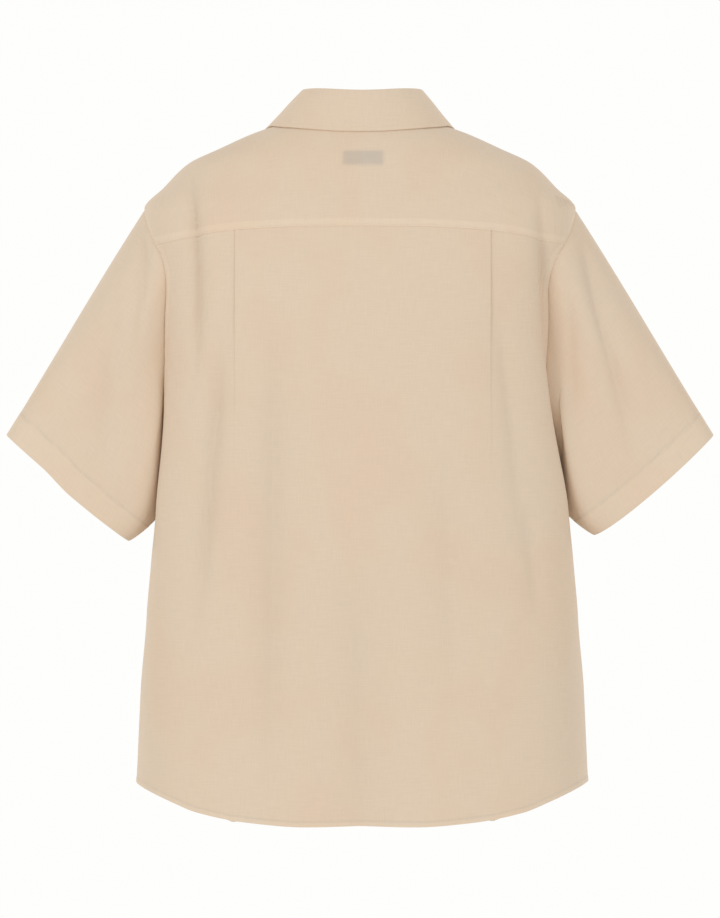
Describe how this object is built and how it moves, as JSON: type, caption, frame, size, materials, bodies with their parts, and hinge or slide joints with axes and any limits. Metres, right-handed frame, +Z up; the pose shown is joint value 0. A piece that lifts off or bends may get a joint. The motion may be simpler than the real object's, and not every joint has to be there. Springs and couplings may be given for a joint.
{
  "type": "short-sleeve shirt",
  "caption": "Short-sleeve button-front shirt in pale sand cloth, hollow and filled out as worn, with a turn-down collar, back yoke, back pleats and a curved hem.",
  "frame": {"origin": "the middle of the neck opening, at the height where the collar meets the shoulder line, held there by the wearer's neck and shoulders", "axes": "+Z up, the back faces +Y, the buttoned front faces -Y, +X is the wearer's left"},
  "size_m": [0.74, 0.2457, 0.7624],
  "materials": {
    "cloth": "plain-woven cotton and linen in pale sand, matt, with fine slubs and soft folds",
    "label_tape": "blank close-woven tape, matt",
    "button": "cream resin, softly polished, four holes"
  },
  "bodies": {
    "root": {"yoke": "cloth", "back": "cloth", "front_left": "cloth", "front_right": "cloth", "sleeve_left": "cloth", "sleeve_right": "cloth", "collar_stand": "cloth", "collar_fall": "cloth", "label": "label_tape", "button_collar": "button", "button_1": "button", "button_2": "button", "button_3": "button", "button_4": "button", "button_5": "button", "button_6": "button"}
  },
  "joints": []
}
